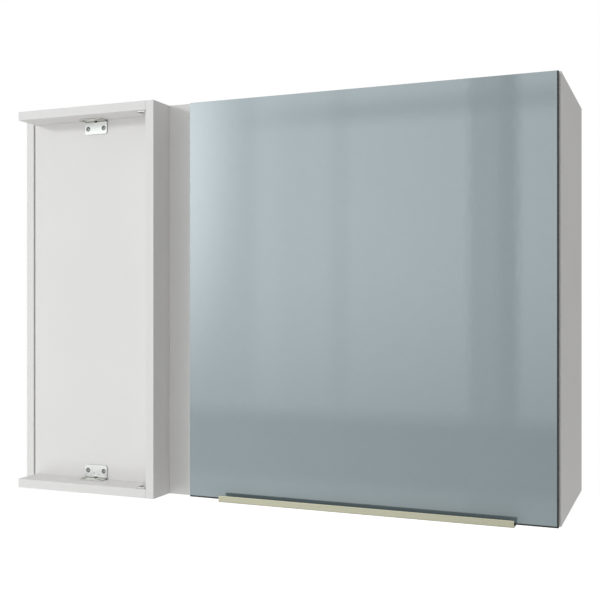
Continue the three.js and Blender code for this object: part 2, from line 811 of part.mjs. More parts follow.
// The mounting plate on the side: a base with two screw ears and a rail that carries the arm.
function hingePlate(height) {
  const face = cabinetWidth - board - seat;
  const base = face - plateThickness;
  const half = plateScrewSpacing / 2;
  const y = plateSetBack;
  const ears = [y - plateEarRadius, y + plateEarRadius];
  let shape = block([base, face], ears, [height - half, height + half]);
  for (const side of [-1, 1]) {
    const z = height + side * half;
    shape = shape.add(rod(point(base, y, z), point(face, y, z), plateEarRadius, 24));
  }
  const railHalf = armHalfWidth - armSheet - seat;
  const rail = [railFront, railFront + plateRailLength];
  const top = armFace + armSheet + seat;
  shape = shape.add(block([top, face], rail, [height - railHalf, height + railHalf]));
  for (const side of [-1, 1]) {
    const z = height + side * half;
    shape = shape.subtract(rod(point(base - 1, y, z), point(face + 1, y, z), plateScrewRadius, 12));
  }
  return shape;
}

// The pressed cup with its flange and screw ears, and two bosses that hold the pin across it.
function hingeCup(height) {
  const outer = cupRadius - cupFit;
  const inner = outer - cupWall;
  const top = doorBack + seat + cupFlange;
  const floor = doorBack - cupBoreDepth + seat;
  const at = (y) => point(cupX, y, height);
  const rim = rod(at(doorBack + seat), at(top), outer + cupFlangeRim, 28);
  const wall = rod(at(floor), at(top), outer, 28);
  const half = cupEarSpacing / 2;
  const ears = new THREE.Shape();
  ears.absarc(earX, height - half, cupEarRadius, Math.PI, 2 * Math.PI);
  ears.absarc(earX, height + half, cupEarRadius, 0, Math.PI);
  let shape = wall.add(rim).add(prismY(ears, doorBack + seat, top));
  shape = shape.subtract(rod(at(floor + cupWall), at(top + 1), inner, 28));
  shape = shape.add(cupBosses(height, inner, floor));
  for (const side of [-1, 1]) {
    const z = height + side * half;
    const hole = rod(point(earX, top + 1, z), point(earX, doorBack - 1, z), cupScrewRadius, 12);
    shape = shape.subtract(hole);
  }
  return shape.subtract(pinHoleAt(cupPin, height, hingePinRadius + seat, cupRadius - 1));
}

function cupBosses(height, inner, floor) {
  const x = [cupPin.x - cupBossRadius, cupPin.x + cupBossRadius];
  const y = [floor + cupWall / 2, cupPin.y + cupBossRadius];
  const reach = Math.sqrt(inner ** 2 - (cupX - cupPin.x + cupBossRadius) ** 2) + cupWall / 2;
  return block(x, y, [height + cupBossInner, height + reach]).add(
    block(x, y, [height - reach, height - cupBossInner]),
  );
}

function addHinges() {
  const where = { upper: hingeHeights[0], lower: hingeHeights[1] };
  for (const [name, height] of Object.entries(where)) {
    place("hinge_plate_" + name, hingePlate(height), "zinc");
    place("hinge_arm_" + name, hingeArm(height), "steel");
    const cheeks = cheekInner + cheekThickness;
    place("hinge_arm_pin_" + name, pinHoleAt(armPin, height, hingePinRadius, cheeks), "steel");
    place("hinge_link_" + name, hingeLink(height), "steel");
    place("hinge_cup_" + name, hingeCup(height), "steel");
    const cupPinHalf = cupRadius - cupPinSetIn;
    place("hinge_cup_pin_" + name, pinHoleAt(cupPin, height, hingePinRadius, cupPinHalf), "steel");
  }
}

const allScrewHoles = bracketScrewHoles();
addCarcass(allScrewHoles);
addFrame(allScrewHoles);
addBrackets();
addHangers();
addDoor();
addHinges();

const part = new THREE.Group();
part.name = "corner_wall_cabinet";
part.add(cabinet);

export default part;
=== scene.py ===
import math

import bmesh
import bpy
from mathutils import Matrix, Vector


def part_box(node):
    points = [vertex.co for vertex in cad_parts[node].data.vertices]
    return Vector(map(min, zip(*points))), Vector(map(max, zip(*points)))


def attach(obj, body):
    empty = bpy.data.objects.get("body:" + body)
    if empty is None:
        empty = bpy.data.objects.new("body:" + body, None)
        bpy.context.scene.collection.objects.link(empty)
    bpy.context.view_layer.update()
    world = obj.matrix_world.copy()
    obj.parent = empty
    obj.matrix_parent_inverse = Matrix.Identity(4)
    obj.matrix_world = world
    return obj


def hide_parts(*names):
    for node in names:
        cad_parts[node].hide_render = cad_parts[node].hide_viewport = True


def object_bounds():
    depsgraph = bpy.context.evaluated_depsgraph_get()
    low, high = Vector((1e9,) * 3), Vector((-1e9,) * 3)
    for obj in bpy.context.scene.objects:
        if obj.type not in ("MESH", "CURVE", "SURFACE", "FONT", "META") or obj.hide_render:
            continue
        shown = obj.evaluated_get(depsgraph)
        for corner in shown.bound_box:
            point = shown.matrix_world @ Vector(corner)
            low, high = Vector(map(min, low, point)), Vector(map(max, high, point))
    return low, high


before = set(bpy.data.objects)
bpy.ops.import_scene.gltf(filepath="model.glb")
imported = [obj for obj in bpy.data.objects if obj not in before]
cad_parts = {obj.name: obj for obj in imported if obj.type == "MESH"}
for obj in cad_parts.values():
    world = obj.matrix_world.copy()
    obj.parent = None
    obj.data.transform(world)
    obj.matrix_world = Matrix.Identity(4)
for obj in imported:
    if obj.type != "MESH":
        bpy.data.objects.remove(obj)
cadLow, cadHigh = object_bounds()
mm = 0.001
near = 1e-6  # metres between places that count as one
tiny = 1e-7  # metres along an edge that counts as none
print("frame loaded:", len(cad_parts), "nodes")

# The room and the view.

view = {
    "place": (0.6384, -1.7047, 0.3184),
    "turn": 22.09,  # degrees to the left of straight on
    "lens": 57.0,
    "rise": 0.0032,  # shift, a share of the frame
}
room = {
    "floor": -1.4,  # a wall cabinet hangs this far above the floor
    "floorRadius": 7.0,
    "ambient": 0.555,  # what the room gives from all sides
    "paper": ("#e8e8e6", "#eeeeec"),
    "paperFibre": 25.0,  # mm across
    "paperLift": 0.62,  # what the camera and reflections see on top, so that the paper is white
}
# Where each lamp is seen from the cabinet, in degrees, and its distance and size in metres.
lamps = {
    "keySoftbox": {"turn": -38, "rise": 15, "away": 4.2, "wide": 0.6, "tall": 0.45, "power": 34},
    "floorBoard": {"turn": -38, "rise": -22, "away": 2.8, "wide": 1.4, "tall": 1.0, "power": 9.5},
}


def linear(hexColour):
    channels = [int(hexColour[i:i + 2], 16) / 255 for i in (1, 3, 5)]
    return [c / 12.92 if c <= 0.04045 else ((c + 0.055) / 1.055) ** 2.4 for c in channels] + [1.0]


# Adds one node: settings are its own properties, and inputs are values, sockets to link from, or nodes
# whose first output is linked. In a Mix node, input 0 is the factor, 2 and 3 are the numbers and 6 and 7
# the colours.
def addNode(tree, kind, inputs=None, **settings):
    node = tree.nodes.new(kind)
    for name, value in settings.items():
        setattr(node, name, value)
    for key, value in (inputs or {}).items():
        if isinstance(value, bpy.types.Node):
            value = value.outputs[0]
        if isinstance(value, bpy.types.NodeSocket):
            tree.links.new(value, node.inputs[key])
        else:
            node.inputs[key].default_value = value
    return node


# A material with an empty tree, for what gives light or lies under it.
def bareMaterial(name):
    made = bpy.data.materials.new(name)
    made.use_nodes = True
    made.node_tree.nodes.clear()
    return made, made.node_tree


def toObject(name, built):
    mesh = bpy.data.meshes.new(name)
    built.to_mesh(mesh)
    built.free()
    made = bpy.data.objects.new(name, mesh)
    bpy.context.scene.collection.objects.link(made)
    return made


def placeCamera():
    camera = bpy.data.objects.new("photoCamera", bpy.data.cameras.new("photoCamera"))
    camera.data.lens = view["lens"]
    camera.data.shift_y = view["rise"]
    camera.location = view["place"]
    camera.rotation_euler = (math.radians(90), 0, math.radians(view["turn"]))
    bpy.context.scene.collection.objects.link(camera)
    bpy.context.scene.camera = camera


# A factor that is 1 for rays that should see the plain white studio, and 0 for those that light.
def seesStudio(tree):
    path = addNode(tree, "ShaderNodeLightPath").outputs
    either = addNode(tree, "ShaderNodeMath", {0: path["Is Camera Ray"], 1: path["Is Glossy Ray"]},
                     operation="MAXIMUM")
    return addNode(tree, "ShaderNodeMath", {0: either, 1: path["Is Transmission Ray"]}, operation="MAXIMUM")


def lightRoom():
    world = bpy.data.worlds.new("paleStudio")
    world.use_nodes = True
    bpy.context.scene.world = world
    tree = world.node_tree
    tree.nodes.clear()
    strength = addNode(tree, "ShaderNodeMapRange", {"Value": seesStudio(tree), "To Min": room["ambient"],
                       "To Max": 1.0})
    sky = addNode(tree, "ShaderNodeBackground", {"Color": linear("#ffffff"), "Strength": strength})
    addNode(tree, "ShaderNodeOutputWorld", {"Surface": sky})

    for name, lamp in lamps.items():
        hangLamp(name, lamp)


# An area lamp that looks at the middle of the cabinet. Shiny faces see the windows, not the lamp.
def hangLamp(name, lamp):
    light = bpy.data.lights.new(name, "AREA")
    light.shape = "RECTANGLE"
    light.size = lamp["wide"]
    light.size_y = lamp["tall"]
    light.energy = lamp["power"]
    turn, rise = math.radians(lamp["turn"]), math.radians(lamp["rise"])
    away = Vector((math.sin(turn) * math.cos(rise), -math.cos(turn) * math.cos(rise), math.sin(rise)))
    hung = bpy.data.objects.new(name, light)
    hung.location = (cadLow + cadHigh) / 2 + away * lamp["away"]
    hung.rotation_euler = (-away).to_track_quat("-Z", "Y").to_euler()
    hung.visible_glossy = False
    bpy.context.scene.collection.objects.link(hung)


# Matt white paper: it keeps the cabinet's shadow and is white to the camera elsewhere.
def floorPaper():
    made, tree = bareMaterial("mattFloorPaper")
    space = addNode(tree, "ShaderNodeTexCoord").outputs["Object"]
    fibre = addNode(tree, "ShaderNodeTexNoise", {"Vector": space, "Scale": 1 / (room["paperFibre"] * mm),
                    "Detail": 3.0})
    dark, light = (linear(colour) for colour in room["paper"])
    tone = addNode(tree, "ShaderNodeMix", {0: fibre, 6: dark, 7: light}, data_type="RGBA")
    matt = addNode(tree, "ShaderNodeBsdfDiffuse", {"Color": tone.outputs[2], "Roughness": 1.0})
    lift = addNode(tree, "ShaderNodeMath", {0: seesStudio(tree), 1: room["paperLift"]}, operation="MULTIPLY")
    glow = addNode(tree, "ShaderNodeEmission", {"Color": linear("#ffffff"), "Strength": lift})
    both = addNode(tree, "ShaderNodeAddShader", {0: matt, 1: glow})
    addNode(tree, "ShaderNodeOutputMaterial", {"Surface": both})
    return made


def layFloor():
    built = bmesh.new()
    bmesh.ops.create_circle(built, cap_ends=True, segments=96, radius=room["floorRadius"])
    built.transform(Matrix.Translation((0, 0, room["floor"])))
    floor = toObject("floor", built)
    floor.data.materials.append(floorPaper())


# The wall of windows in front of the cabinet, which the gloss door and the metal reflect. Its places
# are in metres, and its brightness is in shares of the white studio's.
windows = {
    "away": 3.5,
    "left": -4.5, "right": 2.2, "low": -1.35, "high": 3.2,
    "daylight": "#f3fcff",
    "room": (1.075, 1.45), "roomFrom": (0.1, -1.9),  # the room's light at these places across
    "glass": 0.94,  # what the windows add to it
    # Places from left to right and the share of the light that comes through there: the window's
    # end, its thin bars and the two wide ones.
    "across": [(-2.22, 0.0), (-2.02, 0.8), (-1.62, 0.8), (-1.55, 0.8), (-1.5, 0.83), (-1.45, 1.0),
               (-1.37, 1.0), (-1.3, 0.93), (-1.21, 0.93), (-1.16, 0.96), (-1.08, 0.96), (-1.03, 0.81),
               (-0.98, 0.81), (-0.93, 0.96), (-0.36, 0.94), (-0.31, 0.45), (-0.215, 0.45), (-0.17, 0.235),
               (-0.125, 0.235), (-0.075, 0.94)],
    # Places from below and the share there: a faint second window in the room's floor, the sill and
    # the fade above it.
    "up": [(-0.81, 0.0), (-0.75, 0.17), (-0.64, 0.17), (-0.58, 0.0), (-0.31, 0.0), (-0.21, 0.42),
           (0.0, 0.61), (0.2, 0.77), (0.45, 0.93), (0.7, 1.0)],
    # Places from below and how much of the transom's shade falls there.
    "transom": [(1.2, 0.0), (1.275, 1.0), (1.305, 1.0), (1.38, 0.0)],
    "transomFrom": (-1.75, -0.95), "transomShade": 0.45,  # the shade grows between these places
    "glow": 1.74, "glowPlace": (-1.96, 1.15), "glowReach": (0.47, 1.49),  # across and up
}


def windowLight():
    made, tree = bareMaterial("windowLight")
    place = addNode(tree, "ShaderNodeTexCoord").outputs["Object"]
    axes = addNode(tree, "ShaderNodeSeparateXYZ", {0: place}).outputs
    shares = []
    for axis, start, end, stops in (("X", windows["left"], windows["right"], windows["across"]),
                                    ("Z", windows["low"], windows["high"], windows["up"]),
                                    ("Z", windows["low"], windows["high"], windows["transom"])):
        along = addNode(tree, "ShaderNodeMapRange", {"Value": axes[axis], "From Min": start, "From Max": end})
        ramp = addNode(tree, "ShaderNodeValToRGB", {0: along})
        first, last = ramp.color_ramp.elements
        for step, share in ((first, stops[0][1]), (last, stops[-1][1])):
            step.color = (share, share, share, 1.0)
        for where, share in stops:
            step = ramp.color_ramp.elements.new((where - start) / (end - start))
            step.color = (share, share, share, 1.0)
        shares.append(ramp)
    start, end = windows["roomFrom"]
    dim, bright = windows["room"]
    around = addNode(tree, "ShaderNodeMapRange", {"Value": axes["X"], "From Min": start, "From Max": end,
                     "To Min": dim, "To Max": bright})
    start, end = windows["transomFrom"]
    shade = addNode(tree, "ShaderNodeMapRange", {"Value": axes["X"], "From Min": start, "From Max": end,
                    "To Max": windows["transomShade"]})
    band = addNode(tree, "ShaderNodeMath", {0: shares[2], 1: shade}, operation="MULTIPLY")
    clear = addNode(tree, "ShaderNodeMath", {0: 1.0, 1: band}, operation="SUBTRACT")
    glass = addNode(tree, "ShaderNodeMath", {0: shares[0], 1: shares[1]}, operation="MULTIPLY")
    seen = addNode(tree, "ShaderNodeMath", {0: glass, 1: clear}, operation="MULTIPLY")
    gain = addNode(tree, "ShaderNodeMath", {0: seen, 1: windows["glass"], 2: 1.0}, operation="MULTIPLY_ADD")
    lit = addNode(tree, "ShaderNodeMath", {0: around, 1: gain}, operation="MULTIPLY")
    (x, z), (wide, tall) = windows["glowPlace"], windows["glowReach"]
    centred = addNode(tree, "ShaderNodeMapping", {"Vector": place, "Location": (x, -windows["away"], z),
                      "Scale": (wide, 1.0, tall)}, vector_type="TEXTURE")
    ball = addNode(tree, "ShaderNodeTexGradient", {0: centred}, gradient_type="SPHERICAL")
    glow = addNode(tree, "ShaderNodeMapRange", {"Value": ball.outputs["Fac"], "To Max": windows["glow"]},
                   interpolation_type="SMOOTHSTEP")
    total = addNode(tree, "ShaderNodeMath", {0: lit, 1: glow}, operation="ADD")
    light = addNode(tree, "ShaderNodeEmission", {"Color": linear(windows["daylight"]), "Strength": total})
    addNode(tree, "ShaderNodeOutputMaterial", {"Surface": light})
    return made


# Black cloth at the right, behind and on the floor, and a lit screen at the left, so that the edges of
# the gloss and the metal read: two opposite corners, and how bright they are beside the white studio.
cards = {
    "rightFlag": {"low": (3.0, -2.2, -1.3), "high": (3.0, 6.0, 3.5), "bright": 0.08},
    "floorFlag": {"low": (-1.0, -1.6, -1.35), "high": (1.6, 0.2, -1.35), "bright": 0.08},
    "backFlag": {"low": (0.8, 5.0, -1.3), "high": (6.0, 5.0, 3.5), "bright": 0.2},
    "leftScreen": {"low": (-3.4, -2.3, -0.8), "high": (-3.4, -0.4, 1.5), "bright": 3.5},
}


def plainLight(name, bright):
    made, tree = bareMaterial(name)
    light = addNode(tree, "ShaderNodeEmission", {"Color": linear("#ffffff"), "Strength": bright})
    addNode(tree, "ShaderNodeOutputMaterial", {"Surface": light})
    return made


# A rectangle that only reflections see: it lights nothing and the camera looks through it.
def hangCard(name, low, high, finish):
    across = 0 if high[0] > low[0] else 1
    corners = [Vector(low), Vector(low), Vector(high), Vector(high)]
    corners[1][across] = high[across]
    corners[3][across] = low[across]
    built = bmesh.new()
    built.faces.new([built.verts.new(corner) for corner in corners])
    card = toObject(name, built)
    card.data.materials.append(finish)
    for ray in ("camera", "diffuse", "transmission", "shadow"):
        setattr(card, "visible_" + ray, False)


def hangCards():
    left, right, low, high = (windows[side] for side in ("left", "right", "low", "high"))
    y = -windows["away"]
    hangCard("windowWall", (left, y, low), (right, y, high), windowLight())
    for name, card in cards.items():
        hangCard(name, card["low"], card["high"], plainLight(name, card["bright"]))


bpy.context.scene.view_settings.view_transform = "Standard"
placeCamera()
lightRoom()
layFloor()
hangCards()
print("room, light and camera made")

# Finishes. Where most of a noise lies: a blend of two values runs between these.
noiseLow, noiseHigh = 0.3, 0.7


# Builds a finish from its values; sizes and relief are in millimetres. A fine grain blends the two
# colours, spreads the roughness and gives the relief. With a cloud, a wide noise, the colours blend by
# their mean, and with flakes the grain is made of small cells.
def makeFinish(name, values):
    made = bpy.data.materials.new(name)
    made.use_nodes = True
    tree = made.node_tree
    shader = tree.nodes["Principled BSDF"]
    for key, value in values.get("shader", {}).items():
        shader.inputs[key].default_value = value
    place = addNode(tree, "ShaderNodeTexCoord").outputs["Object"]
    spread = addNode(tree, "ShaderNodeMapping", {"Vector": place, "Scale": values.get("stretch", (1, 1, 1))})
    grain = addNode(tree, "ShaderNodeTexNoise", {"Vector": spread,
                    "Scale": 1 / (values["grain"] * mm), "Detail": values.get("detail", 2.0)})
    tone = grain
    if "flakes" in values:
        cells = addNode(tree, "ShaderNodeTexVoronoi", {"Vector": place, "Scale": 1 / (values["flakes"] * mm)})
        shade = addNode(tree, "ShaderNodeSeparateColor", {0: cells.outputs["Color"]})
        grain = tone = addNode(tree, "ShaderNodeMix", {0: 0.5, 2: grain, 3: shade})
    if "cloud" in values:
        cloud = addNode(tree, "ShaderNodeTexNoise", {"Vector": place, "Scale": 1 / (values["cloud"] * mm),
                        "Detail": 3.0})
        tone = addNode(tree, "ShaderNodeMix", {0: 0.5, 2: grain, 3: cloud})
    share = addNode(tree, "ShaderNodeMapRange", {"Value": tone, "From Min": noiseLow, "From Max": noiseHigh})
    dark, light = (linear(colour) for colour in values["colours"])
    paint = addNode(tree, "ShaderNodeMix", {0: share, 6: dark, 7: light}, data_type="RGBA")
    tree.links.new(paint.outputs[2], shader.inputs["Base Color"])
    smooth, rough = values["satin"]
    satin = addNode(tree, "ShaderNodeMapRange", {"Value": grain, "From Min": noiseLow, "From Max": noiseHigh,
                    "To Min": smooth, "To Max": rough})
    tree.links.new(satin.outputs[0], shader.inputs["Roughness"])
    relief = addNode(tree, "ShaderNodeBump", {"Height": grain, "Distance": values["relief"] * mm})
    tree.links.new(relief.outputs[0], shader.inputs["Normal"])
    if "Coat Weight" in values.get("shader", {}):
        tree.links.new(relief.outputs[0], shader.inputs["Coat Normal"])
    return made


# Chipboard faced with white melamine paper, pressed against a pearl plate: a dull satin white with
# shallow dimples. The dimples are drawn three times as coarse as the real ones, so that they show.
melamineWhite = makeFinish("whiteMelamine", {
    "colours": ("#e8e7e6", "#ecebea"), "cloud": 140, "grain": 1.6, "detail": 1.0, "satin": (0.48, 0.56),
    "relief": 0.012, "shader": {"Specular IOR Level": 0.4}})

# ABS edge band, trimmed and buffed: a little smoother than the faces, with faint marks of the trimming.
bandWhite = makeFinish("whiteEdgeBand", {
    "colours": ("#e4e3e2", "#e9e8e7"), "grain": 3.0, "satin": (0.42, 0.50), "relief": 0.008})

# Raw particle board, sawn or drilled: pressed flakes of pale and dark wood with pores between.
chipboard = makeFinish("rawChipboard", {
    "colours": ("#a8845a", "#dcc195"), "flakes": 2.2, "grain": 0.9, "detail": 3.0, "satin": (0.8, 0.9),
    "relief": 0.25})

# Medium density fibreboard where it was drilled: even brown felt of fine fibres.
fibreboard = makeFinish("rawFibreboard", {
    "colours": ("#a47f56", "#b89466"), "grain": 0.7, "detail": 4.0, "satin": (0.75, 0.85), "relief": 0.05})

# Hardboard with the brown side bare to the wall: dark flecks of bark in pressed fibre.
hardboardBare = makeFinish("bareHardboard", {
    "colours": ("#997046", "#ae875d"), "cloud": 90, "grain": 1.4, "stretch": (1, 1, 0.35), "detail": 4.0,
    "satin": (0.55, 0.7), "relief": 0.05})

# Hardboard lacquered white on the inside: thin paint that lets a trace of the fibre through.
hardboardWhite = makeFinish("whiteHardboard", {
    "colours": ("#e2e2df", "#e8e8e5"), "grain": 1.4, "detail": 3.0, "satin": (0.36, 0.44), "relief": 0.02})

# High-gloss lacquer in grey blue under a clear coat, sprayed and cured: mirror clear, with the
# shallow waves of orange peel that bend what it reflects.
doorLacquer = makeFinish("glossLacquer", {
    "colours": ("#738388", "#76868b"), "cloud": 160, "grain": 12, "satin": (0.03, 0.03), "relief": 0.025,
    "shader": {"Specular IOR Level": 1.0, "Coat Weight": 1.0, "Coat Roughness": 0.01, "Coat IOR": 1.6}})

# The door's edge band, a thick black ABS strip milled round and polished: near black, with bright lines where
# its round catches the light. The front's right and lower rounds are given the same black as painted shade,
# while the left and top ones stay lacquered.
bandBlackAndPaintedShade = makeFinish("blackEdgeBandAndPaintedShade", {
    "colours": ("#1b1c1b", "#212221"), "grain": 2.5, "satin": (0.10, 0.18), "relief": 0.004,
    "shader": {"IOR": 1.53}})

# Aluminium, brushed along its length and anodised champagne: a warm satin metal with fine streaks,
# drawn wider than the real brush marks so that they show.
handleMetal = makeFinish("champagneAnodised", {
    "colours": ("#a6a08b", "#aea893"), "grain": 0.7, "stretch": (0.012, 1, 1), "detail": 3.0,
    "satin": (0.22, 0.27), "relief": 0.006, "shader": {"Metallic": 1.0}})

# Pressed steel with bright zinc plating: pale grey metal, faintly cloudy and satin.
zinc = makeFinish("zincPlatedSteel", {
    "colours": ("#c3c0bc", "#d2cfcb"), "grain": 4, "detail": 3.0, "satin": (0.26, 0.40), "relief": 0.006,
    "shader": {"Metallic": 1.0}})

# Painted shade on the zinc steel in bends, ribs, countersinks and screw recesses, where shade falls: a dull,
# dark metal with a green cast.
zincPaintedShade = makeFinish("paintedShadeZinc", {
    "colours": ("#55574c", "#6b6d60"), "grain": 1.2, "satin": (0.45, 0.60), "relief": 0.01,
    "shader": {"Metallic": 1.0}})

# Screws plated with zinc in a tumbling drum: rougher than the brackets, with small nicks, and darker as
# painted shade for heads sunk in their countersinks.
screwZincWithPaintedShade = makeFinish("screwZincPaintedShade", {
    "colours": ("#6c6d68", "#7e7f7a"), "grain": 1.5, "detail": 3.0, "satin": (0.28, 0.42), "relief": 0.012,
    "shader": {"Metallic": 1.0}})

# Pressed steel with nickel plating: smoother and a little warmer than zinc.
nickel = makeFinish("nickelPlatedSteel", {
    "colours": ("#c4c1bb", "#d0cdc7"), "grain": 8, "satin": (0.16, 0.26), "relief": 0.004,
    "shader": {"Metallic": 1.0}})

# Moulded white nylon: slightly translucent, with the fine grain of the mould.
nylon = makeFinish("whiteNylon", {
    "colours": ("#e8e7e2", "#edece7"), "grain": 0.6, "satin": (0.38, 0.46), "relief": 0.01,
    "shader": {"IOR": 1.53, "Subsurface Weight": 0.08, "Subsurface Radius": (0.002, 0.002, 0.002)}})

# Hard white PVC of the joining profile and the caps, drawn through a die: smooth with faint lines.
pvc = makeFinish("whitePvc", {
    "colours": ("#ebebe8", "#f0f0ed"), "grain": 0.8, "stretch": (1, 1, 0.02), "satin": (0.30, 0.36),
    "relief": 0.01, "shader": {"IOR": 1.53}})

# Clear silicone, cast in drops: soft, glassy and slightly milky.
silicone = makeFinish("clearSilicone", {
    "colours": ("#f0f2f2", "#f4f6f6"), "grain": 1.5, "satin": (0.08, 0.18), "relief": 0.004,
    "shader": {"IOR": 1.41, "Transmission Weight": 0.75}})
print("finishes made:", len(bpy.data.materials))

# Making pieces.


# A CAD node's surface with its loose triangles merged and its flat faces made whole.
def nodeShape(node):
    built = bmesh.new()
    built.from_mesh(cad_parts[node].data)
    bmesh.ops.remove_doubles(built, verts=built.verts, dist=near)
    bmesh.ops.dissolve_limit(built, angle_limit=math.radians(1), verts=built.verts, edges=built.edges)
    return built


def boxShape(low, high):
    built = bmesh.new()
    bmesh.ops.create_cube(built, size=1.0)
    built.transform(Matrix.Translation((low + high) / 2) @ Matrix.Diagonal((*(high - low), 1)))
    return built


# A round bar or cone from one place to another.
def rodShape(start, end, radius, sides, endRadius=None):
    along = end - start
    built = bmesh.new()
    bmesh.ops.create_cone(built, cap_ends=True, segments=sides, radius1=radius,
                          radius2=radius if endRadius is None else endRadius, depth=along.length)
    turn = along.to_track_quat("Z", "Y").to_matrix().to_4x4()
    built.transform(Matrix.Translation((start + end) / 2) @ turn)
    return built


# A profile of (radius, place on the axis) points turned round an axis through a point.
def turnedShape(profile, place, axis, steps):
    built = bmesh.new()
    points = [built.verts.new((r, 0, z)) for r, z in profile]
    edges = [built.edges.new(pair) for pair in zip(points, points[1:])]
    bmesh.ops.spin(built, geom=points + edges, cent=(0, 0, 0), axis=(0, 0, 1), steps=steps,
                   angle=2 * math.pi, use_merge=True)
    bmesh.ops.remove_doubles(built, verts=built.verts, dist=tiny)
    bmesh.ops.recalc_face_normals(built, faces=built.faces)
    turn = Vector(axis).to_track_quat("Z", "Y").to_matrix().to_4x4()
    built.transform(Matrix.Translation(place) @ turn)
    return built


def applyModifiers(piece):
    graph = bpy.context.evaluated_depsgraph_get()
    mesh = bpy.data.meshes.new_from_object(piece.evaluated_get(graph))
    piece.modifiers.clear()
    piece.data = mesh


# The shape of a piece with its modifiers, taken out of the scene again.
def toShape(piece):
    applyModifiers(piece)
    built = bmesh.new()
    built.from_mesh(piece.data)
    bmesh.ops.dissolve_degenerate(built, dist=tiny, edges=built.edges)
    bpy.data.objects.remove(piece)
    return built


# The first shape with the others joined to it (UNION) or cut out of it (DIFFERENCE).
def combined(base, operation, *tools):
    piece = toObject("combined", base)
    helpers = [toObject("tool", tool) for tool in tools]
    for helper in helpers:
        change = piece.modifiers.new("change", "BOOLEAN")
        change.operation = operation
        change.solver = "EXACT"
        change.object = helper
    built = toShape(piece)
    for helper in helpers:
        bpy.data.objects.remove(helper)
    return built


# Rounds what is sharp and shades the rest smooth, with large faces kept flat to the light, then puts
# the piece on its body in place of a node.
def addPiece(name, built, body, finishes, node, edge=0.0, steps=2, crease=40):
    piece = toObject(name, built)
    for finish in finishes:
        piece.data.materials.append(finish)
    piece.data.polygons.foreach_set("use_smooth", [True] * len(piece.data.polygons))
    piece.data.set_sharp_from_angle(angle=math.radians(crease))
    if edge:
        rounding = piece.modifiers.new("rounding", "BEVEL")
        rounding.width = edge * mm
        rounding.segments = steps
        rounding.limit_method = "ANGLE"
        rounding.angle_limit = math.radians(crease)
    flat = piece.modifiers.new("flatFaces", "WEIGHTED_NORMAL")
    flat.weight = 100
    flat.keep_sharp = True
    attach(piece, body)
    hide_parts(node)


# A node's name as a piece's: shelf_pin_front_left becomes shelfPinFrontLeft.
def pieceName(node):
    first, *others = node.split("_")
    return first + "".join(word.capitalize() for word in others)


# A piece that has its node's own shape.
def dressNode(node, body, finish, edge):
    addPiece(pieceName(node), nodeShape(node), body, [finish], node, edge)


# The place on a node's box at the ends that the ways look to, and at its middle in the other directions.
def boxPlace(node, *ways):
    low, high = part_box(node)
    place = (low + high) / 2
    for way in ways:
        for axis in range(3):
            if way[axis]:
                place[axis] = high[axis] if way[axis] > 0 else low[axis]
    return place


# Boards.

# For each board: its piece's name, the axis across it and its edges with a band; the others are sawn
# chipboard.
boards = {
    "left_side": ("leftSideBoard", "x", ["front", "top", "under"]),
    "right_side": ("rightSideBoard", "x", ["front", "top", "under"]),
    "top_panel": ("topBoard", "z", ["front"]),
    "bottom_panel": ("bottomBoard", "z", ["front"]),
    "blind_panel": ("blindBoard", "y", ["left", "right", "top", "under"]),
    "shelf": ("shelfBoard", "z", ["front"]),
    "frame_top_board": ("frameTopBoard", "z", ["front", "left", "right"]),
    "frame_bottom_board": ("frameBottomBoard", "z", ["front", "left", "right"]),
    "frame_side_board": ("frameSideBoard", "x", ["front", "top", "under"]),
}
boardEdges = {"board": 0.5, "back": 0.2}
boardCrease = 32  # degrees; the facets of the small holes turn by more and stay flat
# Each side of a box, as the axis across it and the sign of its place there.
directions = {"left": (0, -1), "right": (0, 1), "front": (1, -1), "back": (1, 1), "under": (2, -1),
              "top": (2, 1)}
# A face lies on a side when it looks that way, by its normal's share, and is this close in metres.
squareTo, closeTo = 0.99, 1e-5


# The side of its box that a face lies on, or None inside a groove or a hole.
def sideOf(face, low, high):
    for side, (axis, sign) in directions.items():
        limit = high[axis] if sign > 0 else low[axis]
        if face.normal[axis] * sign > squareTo and abs(face.calc_center_median()[axis] - limit) < closeTo:
            return side
    return None


# 0 is the board's flat faces, 1 a banded edge and 2 bare chipboard.
def boardFinish(face, box, flat, banded):
    side = sideOf(face, *box)
    if side and directions[side][0] == "xyz".index(flat):
        return 0
    return 1 if side in banded else 2


def makeBoards():
    for node, (name, flat, banded) in boards.items():
        built, box = nodeShape(node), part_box(node)
        for face in built.faces:
            face.material_index = boardFinish(face, box, flat, banded)
        addPiece(name, built, "cabinet", [melamineWhite, bandWhite, chipboard], node,
                 boardEdges["board"], crease=boardCrease)


# The two back panels are white inside and bare brown to the wall.
def makeBacks():
    for node in ("back_panel_left", "back_panel_right"):
        built, box = nodeShape(node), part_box(node)
        for face in built.faces:
            face.material_index = 0 if sideOf(face, *box) == "front" else 1
        addPiece(pieceName(node), built, "cabinet", [hardboardWhite, hardboardBare], node,
                 boardEdges["back"])
    dressNode("back_joiner", "cabinet", pvc, boardEdges["back"])


makeBoards()
makeBacks()
print("boards made")

# Door.

door = {
    "lowerRound": 3.4,  # of the front's lower edge; the band below is black, and so is this round, as painted shade
    "rightRound": 2.6,  # of the one at the right
    "lacquerRound": 0.5,  # of the front's other edges
    "roundSteps": 8,
    "rim": 3.7,  # wider than the rounds, and clear of the cups
    "otherEdge": 0.5,
    "cupRadius": 17.5,
    "cupEdge": 4.0,  # from the door's edge to the cup's bore
    "cupDepth": 12.5,
    "cupSides": 72,
    "earOffset": 6.0,
    "earSpacing": 48.0,
    "earHole": 2.0,  # its radius
    "earHoleDepth": 9.0,
    "earHoleSides": 24,
}
handleEdge = 0.12
doorLow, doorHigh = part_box("door_panel")


# The middle of each hinge's cup on the door's back.
def cupPlaces():
    x = doorHigh.x - (door["cupEdge"] + door["cupRadius"]) * mm
    for where in ("upper", "lower"):
        yield where, Vector((x, doorHigh.y, boxPlace("hinge_cup_" + where).z))


